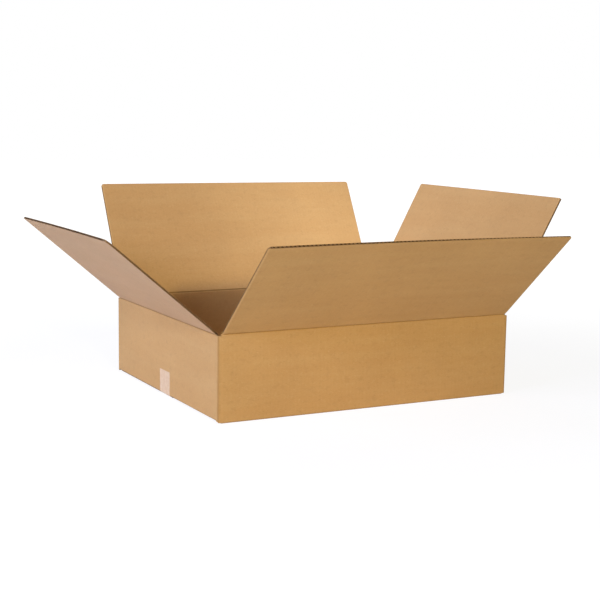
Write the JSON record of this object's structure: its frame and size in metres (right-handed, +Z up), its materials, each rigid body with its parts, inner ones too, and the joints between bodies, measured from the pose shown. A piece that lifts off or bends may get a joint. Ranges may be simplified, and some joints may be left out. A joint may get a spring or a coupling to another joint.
{
  "type": "open corrugated cardboard box",
  "caption": "Low rectangular shipping box of brown corrugated board, standing open with its hinged top flaps folded outwards and its bottom flaps taped shut.",
  "frame": {"origin": "centre of the box's underside, on the surface it stands on", "axes": "+X along the long front and back walls, +Y from the front wall to the back wall, +Z up"},
  "size_m": [0.9391, 0.8278, 0.3846],
  "materials": {
    "kraft_board": "matte",
    "packing_tape": "satin"
  },
  "bodies": {
    "box": {"box_body": "kraft_board", "bottom_tape": "packing_tape"},
    "front_flap": {"flap_front": "kraft_board"},
    "back_flap": {"flap_back": "kraft_board"},
    "left_flap": {"flap_left": "kraft_board"},
    "right_flap": {"flap_right": "kraft_board"}
  },
  "joints": [
    {"name": "front_score", "type": "hinge", "parent": "box", "child": "front_flap", "pos_m": [0, -0.2554, 0.16], "axis": [1, 0, 0], "range_deg": [-138.9, 76.1]},
    {"name": "back_score", "type": "hinge", "parent": "box", "child": "back_flap", "pos_m": [0, 0.2554, 0.16], "axis": [-1, 0, 0], "range_deg": [-118.4, 96.6]},
    {"name": "left_score", "type": "hinge", "parent": "box", "child": "left_flap", "pos_m": [-0.308, 0, 0.1575], "axis": [0, -1, 0], "range_deg": [-140.1, 74.9]},
    {"name": "right_score", "type": "hinge", "parent": "box", "child": "right_flap", "pos_m": [0.308, -0.002, 0.1575], "axis": [0, 1, 0], "range_deg": [-119, 96]}
  ]
}
